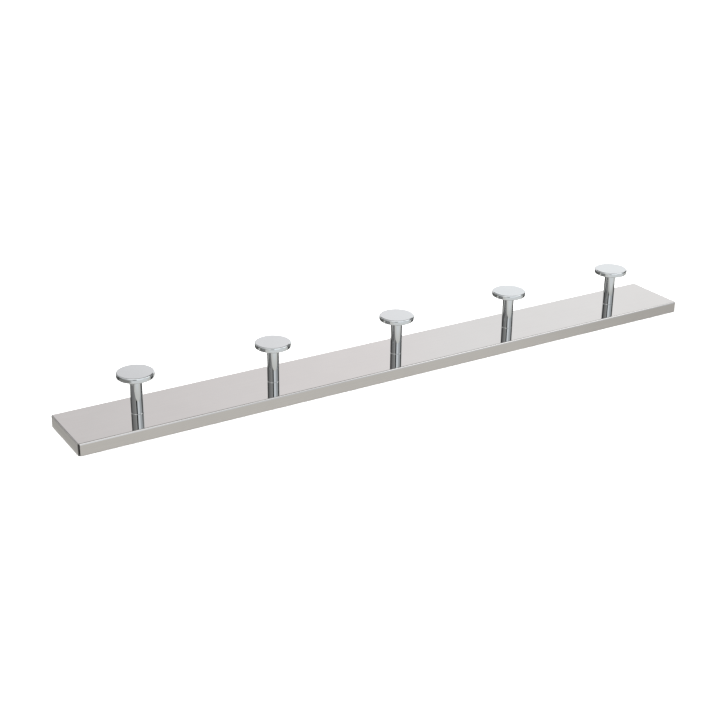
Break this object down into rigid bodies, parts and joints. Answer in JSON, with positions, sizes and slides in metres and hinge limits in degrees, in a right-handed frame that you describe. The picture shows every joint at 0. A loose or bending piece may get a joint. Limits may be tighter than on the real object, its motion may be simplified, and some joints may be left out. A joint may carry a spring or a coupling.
{
  "type": "wall hook rack",
  "caption": "Long shallow folded-steel tray with round-headed chromed pegs in a row, hung on a wall by hidden plates and locked from below by grub screws.",
  "frame": {"origin": "Middle of the rack's back, in the wall plane: the plane of the tray's back rim and of the wall plates' backs.", "axes": "+X along the rack, +Z out of the wall along the pegs, -Y up when it hangs, so the grub screws in the +Y side are underneath. At rest in this frame the rack lies on its back, as in the picture."},
  "size_m": [0.6, 0.06, 0.045],
  "materials": {
    "tray_steel": "polished stainless sheet with faint lengthwise polishing lines",
    "peg_chrome": "bright chrome plate",
    "fixing_zinc": "satin zinc plate",
    "clip_steel": "plain stainless, mill finish",
    "fastener_steel": "plain stainless fasteners",
    "grub_steel": "blackened steel"
  },
  "bodies": {
    "root": {"face_tray": "tray_steel", "peg_1_stem": "peg_chrome", "peg_1_disc": "peg_chrome", "peg_1_plain_washer": "fastener_steel", "peg_1_spring_washer": "fastener_steel", "peg_1_screw": "fastener_steel", "peg_2_stem": "peg_chrome", "peg_2_disc": "peg_chrome", "peg_2_plain_washer": "fastener_steel", "peg_2_spring_washer": "fastener_steel", "peg_2_screw": "fastener_steel", "peg_3_stem": "peg_chrome", "peg_3_disc": "peg_chrome", "peg_3_plain_washer": "fastener_steel", "peg_3_spring_washer": "fastener_steel", "peg_3_screw": "fastener_steel", "peg_4_stem": "peg_chrome", "peg_4_disc": "peg_chrome", "peg_4_plain_washer": "fastener_steel", "peg_4_spring_washer": "fastener_steel", "peg_4_screw": "fastener_steel", "peg_5_stem": "peg_chrome", "peg_5_disc": "peg_chrome", "peg_5_plain_washer": "fastener_steel", "peg_5_spring_washer": "fastener_steel", "peg_5_screw": "fastener_steel", "wall_plate_left": "fixing_zinc", "hook_clip_left": "clip_steel", "grub_screw_left": "grub_steel", "wall_plate_right": "fixing_zinc", "hook_clip_right": "clip_steel", "grub_screw_right": "grub_steel"}
  },
  "joints": []
}
